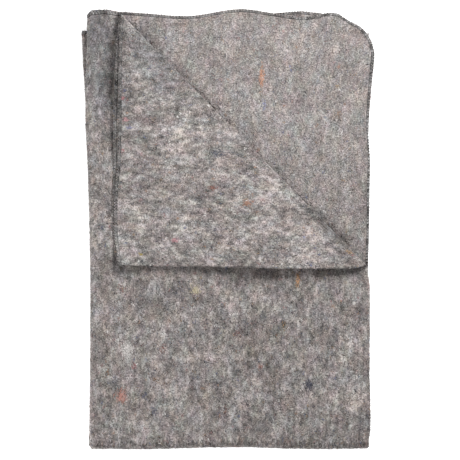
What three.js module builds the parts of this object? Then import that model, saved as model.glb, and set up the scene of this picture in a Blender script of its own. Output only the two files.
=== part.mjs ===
// A felted wool blanket, folded in four across its width and doubled over along its length. The upper
// right corner of its two top panels is turned down. Millimetres, +Z up, lying on Z = 0: +Y runs from the
// bottom fold to the hems, and +X from the left folds to the open right side.

import * as THREE from 'three';
import { mergeVertices } from 'three/addons/utils/BufferGeometryUtils.js';

const { lerp, clamp, smoothstep, degToRad } = THREE.MathUtils;

// The cloth
const CLOTH_THICKNESS = 3;
const HEM_THICKNESS = 2; // where the overlock stitching squeezes the edge
const HEM_WIDTH = 8;
const CORNER_RADIUS = 86;
const CLOTH_COLOUR = 0x8a8480;
const CLOTH_ROUGHNESS = 0.95;

// The folded pack
const LAYER_GAP = 1;
const LAYER_PITCH = CLOTH_THICKNESS + LAYER_GAP;
const LEFT_SIDE = -240;
const RIGHT_SIDE = 243;
const BOTTOM_SIDE = -379;
const HEM_LINE = 375;
const PANEL_WIDTH = RIGHT_SIDE - LEFT_SIDE;
const NESTED_FOLD_INSET = 3; // the inner left fold lies this far inside the outer one

// The turned-down corner: two points of its diagonal fold, as seen from above
const DIAGONAL_TOP = new THREE.Vector2(-186.5, 373.5);
const DIAGONAL_END = new THREE.Vector2(239.8, -62.8);

// How finely the sheet is divided
const LONGEST_STEP = 0.17; // share of a panel's width or length
const LEAST_STEP = 0.01;
const BOTTOM_STEPS = 7;
const WIDE_STEPS = 6;
const TIGHT_STEPS = 4;
const DIAGONAL_STEPS = 5;
const CORNER_STEPS = 6;
const LEAST_SPLIT = 0.4; // a split line this near a vertex goes through it

// How far the sides of the pack stand to the right of LEFT_SIDE or RIGHT_SIDE, at shares of the way from
// the bottom fold to the hem. The third and lowest panels end on the right in a hem.
const FRONT_SIDES = [
  { share: 0.0, leftFold: -0.8, rightFold: 0.0, thirdHem: -5.0, lowestHem: -7 },
  { share: 0.04, leftFold: 0.2, rightFold: 2.6, thirdHem: -5.0, lowestHem: -7 },
  { share: 0.15, leftFold: 1.2, rightFold: 1.0, thirdHem: -5.0, lowestHem: -7 },
  { share: 0.36, leftFold: 1.6, rightFold: 1.2, thirdHem: -3.5, lowestHem: -6 },
  { share: 0.39, leftFold: 1.2, rightFold: 0.0, thirdHem: -2.5, lowestHem: -5 },
  { share: 0.45, leftFold: 0.8, rightFold: 1.0, thirdHem: -2.0, lowestHem: -5 },
  { share: 0.55, leftFold: -1.0, rightFold: 4.0, thirdHem: 0.0, lowestHem: -4 },
  { share: 0.66, leftFold: -3.6, rightFold: 5.6, thirdHem: 1.0, lowestHem: -4 },
  { share: 0.73, leftFold: -6.4, rightFold: 5.4, thirdHem: 1.7, lowestHem: -4 },
  { share: 0.8, leftFold: -6.9, rightFold: 5.6, thirdHem: -0.9, lowestHem: -3 },
  { share: 0.85, leftFold: -6.1, rightFold: 6.0, thirdHem: 0.9, lowestHem: -3 },
  { share: 0.9, leftFold: -5.2, rightFold: 6.4, thirdHem: 3.0, lowestHem: -3 },
  { share: 0.95, leftFold: -4.3, rightFold: 6.3, thirdHem: 6.3, lowestHem: -3 },
  { share: 1.0, leftFold: -3.5, rightFold: 6.1, thirdHem: 9.8, lowestHem: -2 },
];
const REAR_SIDES = [
  { share: 0.0, leftFold: -0.8, rightFold: 0.0, thirdHem: -5, lowestHem: -7 },
  { share: 0.3, leftFold: 1.8, rightFold: -1.0, thirdHem: -3, lowestHem: -8 },
  { share: 0.6, leftFold: -0.5, rightFold: -4.0, thirdHem: -6, lowestHem: -5 },
  { share: 0.78, leftFold: -5.5, rightFold: -3.0, thirdHem: -5, lowestHem: -6 },
  { share: 0.87, leftFold: -9.0, rightFold: -1.0, thirdHem: -4, lowestHem: -8 },
  { share: 0.97, leftFold: -13.8, rightFold: 0.5, thirdHem: -2, lowestHem: -6 },
  { share: 1.0, leftFold: -13.2, rightFold: 0.5, thirdHem: -2, lowestHem: -6 },
];

// How far each panel's hem lies above HEM_LINE, at shares of the way from the left fold to the right side
const FRONT_HEMS = [
  { share: 0.0, lowest: 4.0, top: 4.0, second: -2.0, third: -2.0 },
  { share: 0.05, lowest: -2.0, top: 5.2, second: -2.0, third: -1.0 },
  { share: 0.1, lowest: -5.0, top: 0.5, second: -1.5, third: 1.2 },
  { share: 0.18, lowest: -7.0, top: 2.7, second: -0.1, third: -1.0 },
  { share: 0.34, lowest: -9.0, top: 6.2, second: -0.1, third: -5.5 },
  { share: 0.52, lowest: 2.0, top: 6.9, second: -1.6, third: 6.4 },
  { share: 0.65, lowest: -1.5, top: 4.7, second: -1.1, third: -1.6 },
  { share: 0.75, lowest: 3.2, top: 5.7, second: 2.4, third: -7.6 },
  { share: 0.86, lowest: -2.0, top: 4.2, second: 1.8, third: 1.8 },
  { share: 0.95, lowest: -2.7, top: -0.8, second: -3.0, third: 1.8 },
  { share: 1.0, lowest: -3.0, top: -6.0, second: -8.0, third: 8.0 },
];
const REAR_HEMS = [
  { share: 0.0, lowest: -31, top: -31, second: -34, third: -34 },
  { share: 0.3, lowest: -37, top: -28, second: -33, third: -39 },
  { share: 0.6, lowest: -31, top: -34, second: -37, third: -32 },
  { share: 0.86, lowest: -36, top: -30, second: -38, third: -37 },
  { share: 1.0, lowest: -37, top: -35, second: -35, third: -37 },
];

// How far the bottom fold is drawn up from BOTTOM_SIDE, at shares of the way from left to right
const BOTTOM_FOLD = [
  { share: 0.0, rise: 0.3 },
  { share: 0.2, rise: 0.0 },
  { share: 0.53, rise: 3.4 },
  { share: 0.76, rise: 0.2 },
  { share: 1.0, rise: 1.2 },
];

// Soft swells of the pack: where each is, how far it spreads, and how much it adds to the height there
const SWELLS = [
  { x: 190, y: -150, reach: 110, share: 0.05 },
  { x: -60, y: -270, reach: 150, share: 0.04 },
  { x: -20, y: 40, reach: 120, share: 0.04 },
  { x: 150, y: 250, reach: 100, share: 0.05 },
  { x: -215, y: 60, reach: 70, share: -0.05 },
  { x: 225, y: 345, reach: 70, share: -0.06 },
  { x: -150, y: 320, reach: 78, share: 0.12 },
  { x: -150, y: 230, reach: 78, share: 0.08 },
  { x: -258, y: 320, reach: 65, share: -0.24 },
  { x: -258, y: 220, reach: 65, share: -0.17 },
  { x: -225, y: 400, reach: 75, share: 0.2 },
];

// Where the turned corner stands off what lies under it, or lies flatter on it: the line along which it does,
// how far to each side, how far the corner is lifted there, and the share of its thickness that it loses
const FLAP_LIFTS = [
  { start: [-182, 335], end: [-182, 250], width: 70, lift: 10, loss: 0 },
  { start: [-120, -70], end: [0, -70], width: 60, lift: 4, loss: 0 },
  { start: [50, -75], end: [120, -75], width: 60, lift: 10, loss: 0 },
  { start: [-195, 60], end: [-195, -20], width: 130, lift: 0, loss: 0.3 },
];

// How far the diagonal fold bulges out, as a share of half its height
const FOLD_SHARPNESS = 0.6;

// How much of their height the turned layers lose beside the diagonal fold, at shares of the way down it
const PRESSED = [
  { share: 0.0, loss: 0.0 },
  { share: 0.2, loss: 0.45 },
  { share: 0.85, loss: 0.45 },
  { share: 1.0, loss: 0.2 },
];
const PRESS_REACH = 130;

// The front hems stand out over the rear ones and sag, losing this share of their height
const HEM_SAG = 0.13;
const SAG_START = 325;
const SAG_END = 380;

// The cloth's way across the pack. A panel runs to the right or to the left at its level, and a fold goes
// round one side from one level to another, with its front hem dipping there. Only the two top panels are
// turned down with the corner.
const ACROSS = [
  { panel: 'lowest', level: 0, heading: -1, turned: false },
  { fold: 'outerLeft', from: 0, to: 3, side: -1, hem: 'top', dip: 6, steps: WIDE_STEPS, turned: false },
  { panel: 'top', level: 3, heading: 1, turned: true },
  { fold: 'right', from: 3, to: 2, side: 1, hem: 'top', dip: 3, steps: TIGHT_STEPS, turned: true },
  { panel: 'second', level: 2, heading: -1, turned: true },
  { fold: 'innerLeft', from: 2, to: 1, side: -1, hem: 'third', dip: 3, steps: TIGHT_STEPS, turned: false },
  { panel: 'third', level: 1, heading: 1, turned: false },
];
const TOP_LEVEL = 3;
const SECOND_LEVEL = 2;

// The cloth's way along the pack: the rear half, the bend round the bottom fold and the front half
const REAR = 0;
const BOTTOM_BEND = 1;
const FRONT = 2;

// Radii and heights that follow from the sizes above
const HALF_PITCH = LAYER_PITCH / 2;
const HALF_THICKNESS = CLOTH_THICKNESS / 2;
const OUTER_LEFT_REACH = TOP_LEVEL * HALF_PITCH + HALF_THICKNESS;
const RIGHT_REACH = HALF_PITCH + HALF_THICKNESS;
const BEND_RADIUS = HALF_PITCH; // of the lowest panel round the bottom fold
const BEND_REACH = BEND_RADIUS + TOP_LEVEL * LAYER_PITCH + HALF_THICKNESS;
const TURN_AXIS = TOP_LEVEL * LAYER_PITCH + HALF_PITCH; // height of the diagonal fold's axis in the stack
const TURN_REACH = FOLD_SHARPNESS * (TURN_AXIS - SECOND_LEVEL * LAYER_PITCH + HALF_THICKNESS);
const TURN_LENGTH = Math.PI * LAYER_PITCH * Math.sqrt((1 + FOLD_SHARPNESS ** 2) / 2); // cloth in that fold
const PRESS_BASE = SECOND_LEVEL * LAYER_PITCH - HALF_PITCH; // only what lies above this height is pressed

// Value of one column of a table at a share between its rows, on a smooth curve through them
function along(rows, column, share) {
  const last = rows.length - 1;
  const found = rows.findIndex((row) => row.share >= share);
  const next = found < 0 ? last : Math.max(found, 1);
  const slope = (i, j) => (rows[j][column] - rows[i][column]) / (rows[j].share - rows[i].share);
  const start = rows[next - 1];
  const end = rows[next];
  const run = end.share - start.share;
  const t = (share - start.share) / run;
  const slopeIn = slope(Math.max(next - 2, 0), next) * run;
  const slopeOut = slope(next - 1, Math.min(next + 1, last)) * run;
  const rise = end[column] - start[column];
  const bend = slopeIn + slopeOut - 2 * rise;
  return start[column] + t * (slopeIn + t * (rise - slopeIn - bend + t * bend));
}

// Where the straight part of each panel starts and ends, seen from above
function panelSides(half, share) {
  const rows = half === REAR ? REAR_SIDES : FRONT_SIDES;
  const outerLeft = LEFT_SIDE + along(rows, 'leftFold', share) + OUTER_LEFT_REACH;
  const innerLeft = outerLeft + NESTED_FOLD_INSET;
  const right = RIGHT_SIDE + along(rows, 'rightFold', share) - RIGHT_REACH;
  return {
    lowest: [outerLeft, RIGHT_SIDE + along(rows, 'lowestHem', share)],
    top: [outerLeft, right],
    second: [innerLeft, right],
    third: [innerLeft, RIGHT_SIDE + along(rows, 'thirdHem', share)],
    outerLeft,
    innerLeft,
    right,
  };
}

// How far the hem drops at the rounded corner that ends the lowest and third panels
function cornerDrop(panel, share) {
  if (panel !== 'lowest' && panel !== 'third') return 0;
  const inward = Math.max(CORNER_RADIUS - (1 - share) * PANEL_WIDTH, 0);
  return CORNER_RADIUS - Math.sqrt(Math.max(CORNER_RADIUS ** 2 - inward ** 2, 0));
}

// Thickness of the cloth at a point of the sheet, given its distances to the two nearest hems
function thicknessAt(sideDistance, endDistance) {
  const inside = clamp(Math.min(sideDistance, endDistance) / HEM_WIDTH, 0, 1);
  return lerp(HEM_THICKNESS, CLOTH_THICKNESS, inside);
}

// The stretch of the cloth's way across that a station lies in
const stretchAt = (across) => ACROSS[Math.min(Math.floor(across), ACROSS.length - 1)];

// A point of the sheet before the corner is turned down. across and length count stretches of the sheet,
// face is -0.5 or 0.5, and the result holds the place seen from above and the height in the stack.
function stackPoint({ across, length, face }) {
  const stretch = stretchAt(across);
  const acrossShare = across - ACROSS.indexOf(stretch);
  const half = length < BOTTOM_BEND ? REAR : FRONT;
  const lengthShare = half === REAR ? BOTTOM_BEND - length : Math.max(length - FRONT, 0);
  const sides = panelSides(half, lengthShare);
  const panelShare = stretch.heading === -1 ? 1 - acrossShare : acrossShare;
  const share = stretch.panel ? panelShare : Number(stretch.side > 0);

  const foldAngle = acrossShare * Math.PI;
  const dip = half === REAR ? 0 : stretch.dip;
  const drop = stretch.panel ? cornerDrop(stretch.panel, share) : dip * Math.sin(foldAngle);
  const hemRows = half === REAR ? REAR_HEMS : FRONT_HEMS;
  const hem = HEM_LINE + along(hemRows, stretch.panel ?? stretch.hem, share) - drop;
  const bottom = BOTTOM_SIDE + BEND_REACH + along(BOTTOM_FOLD, 'rise', share);
  const hasSideHem = stretch.panel === 'lowest' || stretch.panel === 'third';
  const sideDistance = hasSideHem ? (1 - share) * PANEL_WIDTH : PANEL_WIDTH;
  const offset = face * thicknessAt(sideDistance, (1 - lengthShare) * (hem - bottom));

  const point = { stretch, half, y: lerp(bottom, hem, lengthShare) };
  if (stretch.panel) {
    point.x = lerp(...sides[stretch.panel], share);
    point.z = stretch.level * LAYER_PITCH + stretch.heading * offset;
    return point;
  }
  const climb = Math.sign(stretch.to - stretch.from);
  const radius = Math.abs(stretch.to - stretch.from) * HALF_PITCH - stretch.side * climb * offset;
  point.x = sides[stretch.fold] + stretch.side * radius * Math.sin(foldAngle);
  point.z = (stretch.from + stretch.to) * HALF_PITCH - climb * radius * Math.cos(foldAngle);
  return point;
}

// The turned corner lies on the far side of the diagonal, to the upper right
const diagonalLength = DIAGONAL_END.distanceTo(DIAGONAL_TOP);
const diagonalRun = DIAGONAL_END.clone().sub(DIAGONAL_TOP).normalize();
const diagonalNormal = new THREE.Vector2(-diagonalRun.y, diagonalRun.x);
const turnStart = DIAGONAL_TOP.clone().addScaledVector(diagonalNormal, -TURN_REACH);
const beyondTurn = (point) => new THREE.Vector2(point.x, point.y).sub(turnStart).dot(diagonalNormal);

// What rows of lines add up to in one column at a point, each fading to both sides of its line
function lineSum(rows, column, point) {
  const place = new THREE.Vector3(point.x, point.y, 0);
  const nearest = new THREE.Vector3();
  const line = new THREE.Line3();
  const fading = (row) => {
    line.set(new THREE.Vector3(...row.start, 0), new THREE.Vector3(...row.end, 0));
    line.closestPointToPoint(place, true, nearest);
    return Math.exp(-((place.distanceTo(nearest) / row.width) ** 2));
  };
  return rows.reduce((total, row) => total + row[column] * fading(row), 0);
}

// Rolls a point of the two top panels over the diagonal fold
function turnDown(point) {
  const distance = beyondTurn(point);
  if (!point.stretch.turned || point.half !== FRONT || distance <= 0) return;
  const radius = TURN_AXIS - point.z;
  const angle = Math.min(distance / TURN_LENGTH, 1) * Math.PI;
  const past = Math.max(distance - TURN_LENGTH, 0);
  const shift = FOLD_SHARPNESS * radius * Math.sin(angle) - past - distance;
  point.x += shift * diagonalNormal.x;
  point.y += shift * diagonalNormal.y;
  const turn = (1 - Math.cos(angle)) / 2;
  const lift = turn * lineSum(FLAP_LIFTS, 'lift', point);
  const kept = 1 - turn * lineSum(FLAP_LIFTS, 'loss', point);
  point.z = TURN_AXIS - radius * Math.cos(angle) * kept + lift;
}

// A point's height in the stack, less what the layers above the third panel lose beside the diagonal fold
function pressedHeight(point) {
  const fromTop = new THREE.Vector2(point.x, point.y).sub(DIAGONAL_TOP);
  const share = clamp(fromTop.dot(diagonalRun) / diagonalLength, 0, 1);
  const nearness = 1 - smoothstep(-fromTop.dot(diagonalNormal), 0, PRESS_REACH);
  const above = Math.max(point.z - PRESS_BASE, 0);
  return point.z - above * along(PRESSED, 'loss', share) * nearness;
}

// How much the pack swells at a place seen from above
function swellAt(x, y) {
  const sag = HEM_SAG * smoothstep(y, SAG_START, SAG_END);
  const spread = (row) => Math.hypot(x - row.x, y - row.y) / row.reach;
  const swellOf = (row) => row.share * Math.exp(-(spread(row) ** 2));
  return SWELLS.reduce((total, row) => total + swellOf(row), 1 - sag);
}

// The finished place of a point of the sheet
function place(sheetPoint) {
  const point = stackPoint(sheetPoint);
  turnDown(point);
  const height = point.half === REAR ? point.z : pressedHeight(point);
  const radius = BEND_RADIUS + height;
  const bend = clamp(sheetPoint.length - BOTTOM_BEND, 0, 1);
  const angle = (bend - 0.5) * Math.PI;
  const y = point.y - radius * Math.cos(angle);
  const z = BEND_REACH + radius * Math.sin(angle);
  return new THREE.Vector3(point.x, y, z * swellAt(point.x, y));
}

// Even shares of one stretch of the sheet, with both ends
const evenly = (steps) => Array.from({ length: steps + 1 }, (_, i) => i / steps);

// The shares of a table's rows, with others between rows that are far apart
function tableShares(rows) {
  const between = rows.slice(1).flatMap((row, i) => {
    const run = row.share - rows[i].share;
    const steps = Math.ceil(run / LONGEST_STEP);
    return evenly(steps).slice(1).map((part) => rows[i].share + part * run);
  });
  return [rows[0].share, ...between];
}

// Shares across a panel that ends in rounded corners, at even angles round them
function hemmedShares() {
  const angles = evenly(CORNER_STEPS).map((part) => degToRad(90 * part));
  const corner = angles.map((angle) => 1 - (CORNER_RADIUS / PANEL_WIDTH) * (1 - Math.sin(angle)));
  return [...tableShares(FRONT_HEMS).filter((share) => share < corner[0] - LEAST_STEP), ...corner];
}

// Stations across the sheet, from the lowest panel's side hem to the third's
function acrossStations() {
  const shares = {
    lowest: hemmedShares().map((share) => 1 - share).reverse(),
    top: tableShares(FRONT_HEMS),
    second: tableShares(FRONT_HEMS).map((share) => 1 - share).reverse(),
    third: hemmedShares(),
  };
  const stations = ACROSS.flatMap((stretch, start) => {
    const inStretch = shares[stretch.panel] ?? evenly(stretch.steps);
    return inStretch.slice(1).map((share) => start + share);
  });
  return [0, ...stations];
}

// Stations along the sheet: from the rear hem over the bottom fold to the front hem
function lengthStations() {
  const hemShare = HEM_WIDTH / (HEM_LINE - BOTTOM_SIDE);
  const clearOfHem = (share) => share > 0 && share < 1 - hemShare - LEAST_STEP;
  const shares = (rows) => [...tableShares(rows).filter(clearOfHem), 1 - hemShare, 1];
  const rear = shares(REAR_SIDES).map((share) => BOTTOM_BEND - share).reverse();
  const bend = evenly(BOTTOM_STEPS).map((share) => BOTTOM_BEND + share);
  const front = shares(FRONT_SIDES).map((share) => FRONT + share);
  return [...rear, ...bend, ...front];
}

// A square of the sheet with the corners a, b, c and d, halved along the slant that runs down to the right
// in the folded pack, as the diagonal fold does
function halve(points, [a, b, c, d]) {
  const { heading = 0 } = stretchAt((points[a].across + points[c].across) / 2);
  const rise = (points[d].across - points[b].across) * (points[d].length - points[b].length);
  return rise * heading > 0 ? [[a, b, c], [a, c, d]] : [[a, b, d], [b, c, d]];
}

// The flat sheet: its points, with their stations, and its triangles
function flatSheet() {
  const columns = acrossStations();
  const rows = lengthStations();
  const box = new THREE.BoxGeometry(1, 1, 1, columns.length - 1, rows.length - 1, 1);
  box.deleteAttribute('normal');
  box.deleteAttribute('uv');
  const merged = mergeVertices(box);
  const position = merged.getAttribute('position');
  const points = Array.from({ length: position.count }, (_, i) => ({
    across: columns[Math.round((position.getX(i) + 0.5) * (columns.length - 1))],
    length: rows[Math.round((position.getY(i) + 0.5) * (rows.length - 1))],
    face: position.getZ(i),
  }));
  const index = merged.getIndex().array;
  const squares = Array.from({ length: index.length / 6 }, (_, i) => {
    const [a, b, d, , c] = index.slice(6 * i, 6 * i + 6);
    return [a, b, c, d];
  });
  return { points, triangles: squares.flatMap((square) => halve(points, square)) };
}

// Cuts the triangles of the two top panels along one line beside the diagonal, so that they can roll over it
function splitSheet({ points, triangles }, lineDistance) {
  const sideOf = (i) => {
    const distance = beyondTurn(stackPoint(points[i])) - lineDistance;
    return Math.abs(distance) < LEAST_SPLIT ? 0 : distance;
  };
  const sides = points.map((_, i) => sideOf(i));
  const crossings = new Map();
  const crossing = (i, j) => {
    const key = i < j ? `${i} ${j}` : `${j} ${i}`;
    if (!crossings.has(key)) {
      const t = sides[i] / (sides[i] - sides[j]);
      const between = (name) => lerp(points[i][name], points[j][name], t);
      crossings.set(key, points.length);
      points.push({ across: between('across'), length: between('length'), face: between('face') });
    }
    return crossings.get(key);
  };
  const rolls = (triangle) => {
    const middle = (name) => triangle.reduce((sum, i) => sum + points[i][name], 0) / triangle.length;
    return stretchAt(middle('across')).turned && middle('length') > FRONT;
  };
  const split = (triangle) => {
    const signs = triangle.map((i) => Math.sign(sides[i]));
    if (!rolls(triangle) || !signs.includes(1) || !signs.includes(-1)) return [triangle];
    const loneSign = signs.reduce((sum, sign) => sum + sign, 0) > 0 ? -1 : 1;
    const start = signs.indexOf(loneSign);
    const [lone, next, other] = [0, 1, 2].map((step) => triangle[(start + step) % 3]);
    const first = sides[next] === 0 ? next : crossing(lone, next);
    const second = sides[other] === 0 ? other : crossing(lone, other);
    if (first === next) return [[lone, next, second], [next, other, second]];
    if (second === other) return [[lone, first, other], [first, next, other]];
    return [[lone, first, second], [first, next, other], [first, other, second]];
  };
  return { points, triangles: triangles.flatMap(split) };
}

// The whole blanket, with its origin at the middle of its underside
function blanketGeometry() {
  let sheet = flatSheet();
  for (let step = 0; step <= DIAGONAL_STEPS; step += 1) {
    sheet = splitSheet(sheet, (TURN_LENGTH * step) / DIAGONAL_STEPS);
  }
  const geometry = new THREE.BufferGeometry();
  geometry.setFromPoints(sheet.points.map(place));
  geometry.setIndex(sheet.triangles.flat());
  geometry.computeBoundingBox();
  const middle = geometry.boundingBox.getCenter(new THREE.Vector3());
  geometry.translate(-middle.x, -middle.y, -geometry.boundingBox.min.z);
  geometry.computeVertexNormals();
  return geometry;
}

const wool = new THREE.MeshStandardMaterial({ color: CLOTH_COLOUR, roughness: CLOTH_ROUGHNESS });
const blanket = new THREE.Mesh(blanketGeometry(), wool);
blanket.name = 'blanket';

const model = new THREE.Group();
model.add(blanket);

export default model;
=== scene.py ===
"""A folded blanket of grey felted wool: its cloth, overlock thread, short pile and coloured flecks.

Metres, +Z up. The cut cloth lies flat in (u, v): u runs across it, from the lowest panel's side hem to the
third panel's, and v along it, from the rear hem over the bottom fold to the front hem. lift is the distance
from the middle of the cloth's thickness, towards the face that is uppermost on the top and third panels.
"""

import math

import bmesh
import bpy
import numpy as np
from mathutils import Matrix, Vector
from mathutils.bvhtree import BVHTree

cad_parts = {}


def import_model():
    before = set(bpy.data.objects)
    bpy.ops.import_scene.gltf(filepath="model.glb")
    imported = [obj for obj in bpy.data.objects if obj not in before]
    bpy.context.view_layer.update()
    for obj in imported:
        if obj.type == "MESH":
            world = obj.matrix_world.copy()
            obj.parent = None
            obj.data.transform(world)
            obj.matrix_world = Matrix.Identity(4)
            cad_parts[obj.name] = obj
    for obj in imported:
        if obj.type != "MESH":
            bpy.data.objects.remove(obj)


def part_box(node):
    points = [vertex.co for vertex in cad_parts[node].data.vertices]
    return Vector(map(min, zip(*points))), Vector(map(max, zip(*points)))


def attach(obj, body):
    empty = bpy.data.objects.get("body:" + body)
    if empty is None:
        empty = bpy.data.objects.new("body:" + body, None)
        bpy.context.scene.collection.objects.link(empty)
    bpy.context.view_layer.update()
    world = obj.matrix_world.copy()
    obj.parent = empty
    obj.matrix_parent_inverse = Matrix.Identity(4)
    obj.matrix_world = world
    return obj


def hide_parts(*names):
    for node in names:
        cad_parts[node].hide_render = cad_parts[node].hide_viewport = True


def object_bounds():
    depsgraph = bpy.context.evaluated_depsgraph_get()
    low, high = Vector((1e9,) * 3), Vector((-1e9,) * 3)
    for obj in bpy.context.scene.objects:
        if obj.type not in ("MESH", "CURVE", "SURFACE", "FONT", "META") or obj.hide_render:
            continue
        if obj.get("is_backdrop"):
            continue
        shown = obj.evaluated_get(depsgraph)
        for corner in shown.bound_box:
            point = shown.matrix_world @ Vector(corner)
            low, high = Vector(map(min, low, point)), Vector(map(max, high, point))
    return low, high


def table(columns, *rows):
    """A table as its columns, by name."""
    return dict(zip(columns.split(), np.array(rows, float).T))


def records(columns, *rows):
    """A table as its rows, each with its values by name."""
    return [dict(zip(columns.split(), row)) for row in rows]


# The cloth
CLOTH_THICKNESS = 0.003
HEM_THICKNESS = 0.002
HEM_WIDTH = 0.008
CORNER_RADIUS = 0.086

# The folded pack
LAYER_GAP = 0.001
LAYER_PITCH = CLOTH_THICKNESS + LAYER_GAP
LEFT_SIDE = -0.240
RIGHT_SIDE = 0.243
BOTTOM_SIDE = -0.379
HEM_LINE = 0.375
REAR_HEM_DROP = 0.034
PANEL_WIDTH = RIGHT_SIDE - LEFT_SIDE
NESTED_FOLD_INSET = 0.003

# The turned-down corner: two points of its diagonal fold, as seen from above
DIAGONAL_TOP = np.array([-0.1865, 0.3735])
DIAGONAL_END = np.array([0.2398, -0.0628])

# The front hems stand out over the rear ones and sag, losing this share of their height
HEM_SAG = 0.13
SAG_START = 0.325
SAG_END = 0.380

# How far the sides of the pack stand to the right of LEFT_SIDE or RIGHT_SIDE, at shares of the way from the
# bottom fold to the hem
FRONT_SIDES = table(
    "share left_fold right_fold third_hem lowest_hem",
    (0.00, -0.0008, 0.0000, -0.0050, -0.007),
    (0.04, 0.0002, 0.0026, -0.0050, -0.007),
    (0.15, 0.0012, 0.0010, -0.0050, -0.007),
    (0.36, 0.0016, 0.0012, -0.0035, -0.006),
    (0.41, 0.0012, -0.0024, -0.0025, -0.005),
    (0.44, 0.0008, 0.0049, -0.0020, -0.005),
    (0.55, -0.0010, 0.0086, 0.0000, -0.004),
    (0.66, -0.0036, 0.0094, 0.0010, -0.004),
    (0.73, -0.0064, 0.0092, 0.0017, -0.004),
    (0.80, -0.0069, 0.0094, -0.0009, -0.003),
    (0.90, -0.0052, 0.0102, 0.0030, -0.003),
    (1.00, -0.0035, 0.0099, 0.0098, -0.002),
)
REAR_SIDES = table(
    "share left_fold right_fold third_hem lowest_hem",
    (0.00, -0.0008, 0.0000, -0.005, -0.007),
    (0.30, 0.0018, -0.0010, -0.003, -0.008),
    (0.60, -0.0005, -0.0040, -0.006, -0.005),
    (0.78, -0.0055, -0.0030, -0.005, -0.006),
    (0.87, -0.0090, -0.0010, -0.004, -0.008),
    (0.97, -0.0138, 0.0005, -0.002, -0.006),
    (1.00, -0.0132, 0.0005, -0.002, -0.006),
)

# How far each panel's hem lies above HEM_LINE, at shares of the way from the left fold to the right side
FRONT_HEMS = table(
    "share lowest top second third",
    (0.00, 0.0040, 0.0040, -0.0020, -0.0020),
    (0.05, -0.0020, 0.0052, -0.0020, -0.0010),
    (0.10, -0.0050, 0.0020, 0.0010, 0.0012),
    (0.18, -0.0070, 0.0065, 0.0037, -0.0010),
    (0.34, -0.0090, 0.0100, 0.0037, -0.0055),
    (0.52, 0.0020, 0.0107, 0.0022, 0.0064),
    (0.65, -0.0015, 0.0085, 0.0027, -0.0016),
    (0.75, 0.0032, 0.0095, 0.0062, -0.0076),
    (0.86, -0.0020, 0.0080, 0.0056, 0.0018),
    (0.91, -0.0024, 0.0058, 0.0038, -0.0030),
    (0.95, -0.0027, 0.0030, 0.0008, 0.0018),
    (0.985, -0.0029, -0.0002, -0.0022, 0.0055),
    (1.00, -0.0030, -0.0022, -0.0042, 0.0080),
)
REAR_HEMS = table(
    "share lowest top second third",
    (0.00, -0.031, -0.031, -0.034, -0.034),
    (0.30, -0.037, -0.028, -0.033, -0.039),
    (0.60, -0.031, -0.034, -0.037, -0.032),
    (0.86, -0.036, -0.030, -0.038, -0.037),
    (1.00, -0.037, -0.035, -0.035, -0.037),
)

# How far the bottom fold is drawn up from BOTTOM_SIDE, at shares of the way from left to right
BOTTOM_FOLD = table("share rise", (0.0, 0.0003), (0.2, 0.0), (0.53, 0.0034), (0.76, 0.0002), (1.0, 0.0012))

# Soft swells of the pack: where each is, how far it spreads, and how much it adds to the height there
SWELLS = records(
    "x y reach share",
    (0.190, -0.150, 0.110, 0.05),
    (-0.060, -0.270, 0.150, 0.04),
    (-0.020, 0.040, 0.120, 0.04),
    (0.150, 0.250, 0.100, 0.05),
    (-0.215, 0.060, 0.070, -0.05),
    (0.225, 0.345, 0.070, -0.06),
    (-0.150, 0.320, 0.078, 0.12),
    (-0.150, 0.230, 0.078, 0.08),
    (-0.258, 0.320, 0.065, -0.24),
    (-0.258, 0.220, 0.065, -0.17),
    (-0.225, 0.400, 0.075, 0.20),
)

# Where the turned corner stands off what lies under it or lies flatter on it: the line along which it does,
# how far that is felt to each side, how far the corner is lifted, and the share of its height that is lost
FLAP_LIFTS = records(
    "start end width lift loss",
    ((-0.182, 0.335), (-0.182, 0.270), 0.042, 0.0165, 0.0),
    ((-0.182, 0.240), (-0.185, 0.160), 0.030, 0.0050, 0.0),
    ((-0.196, -0.062), (-0.170, -0.068), 0.025, 0.0100, 0.0),
    ((-0.120, -0.070), (0.000, -0.070), 0.045, 0.0040, 0.0),
    ((0.070, -0.075), (0.182, -0.075), 0.060, 0.0125, 0.0),
    ((-0.195, 0.060), (-0.195, -0.020), 0.130, 0.0, 0.40),
)

# How far the diagonal fold bulges out, as a share of half its height
FOLD_SHARPNESS = 0.15

# How much of their height the turned layers lose beside the diagonal fold, at shares of the way down it
PRESSED = table("share loss", (0.0, 0.0), (0.12, 0.40), (0.22, 0.64), (0.55, 0.66), (0.85, 0.55), (1.0, 0.2))
PRESS_REACH = 0.130

# Creases in the layers under the turned corner: both ends, how wide each trough is, and the share of the
# height that it takes
CREASES = records(
    "start end width share",
    ((-0.165, 0.352), (-0.133, 0.319), 0.006, -0.065),
    ((-0.124, 0.310), (-0.063, 0.248), 0.005, -0.018),
    ((-0.057, 0.242), (0.000, 0.184), 0.006, -0.070),
    ((0.006, 0.177), (0.132, 0.048), 0.006, -0.020),
    ((0.139, 0.041), (0.200, -0.022), 0.008, -0.055),
)

# How finely the third panel is divided beside the diagonal, and how far from it
CREASE_STEPS = 8
CREASE_REACH = 0.012

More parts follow.
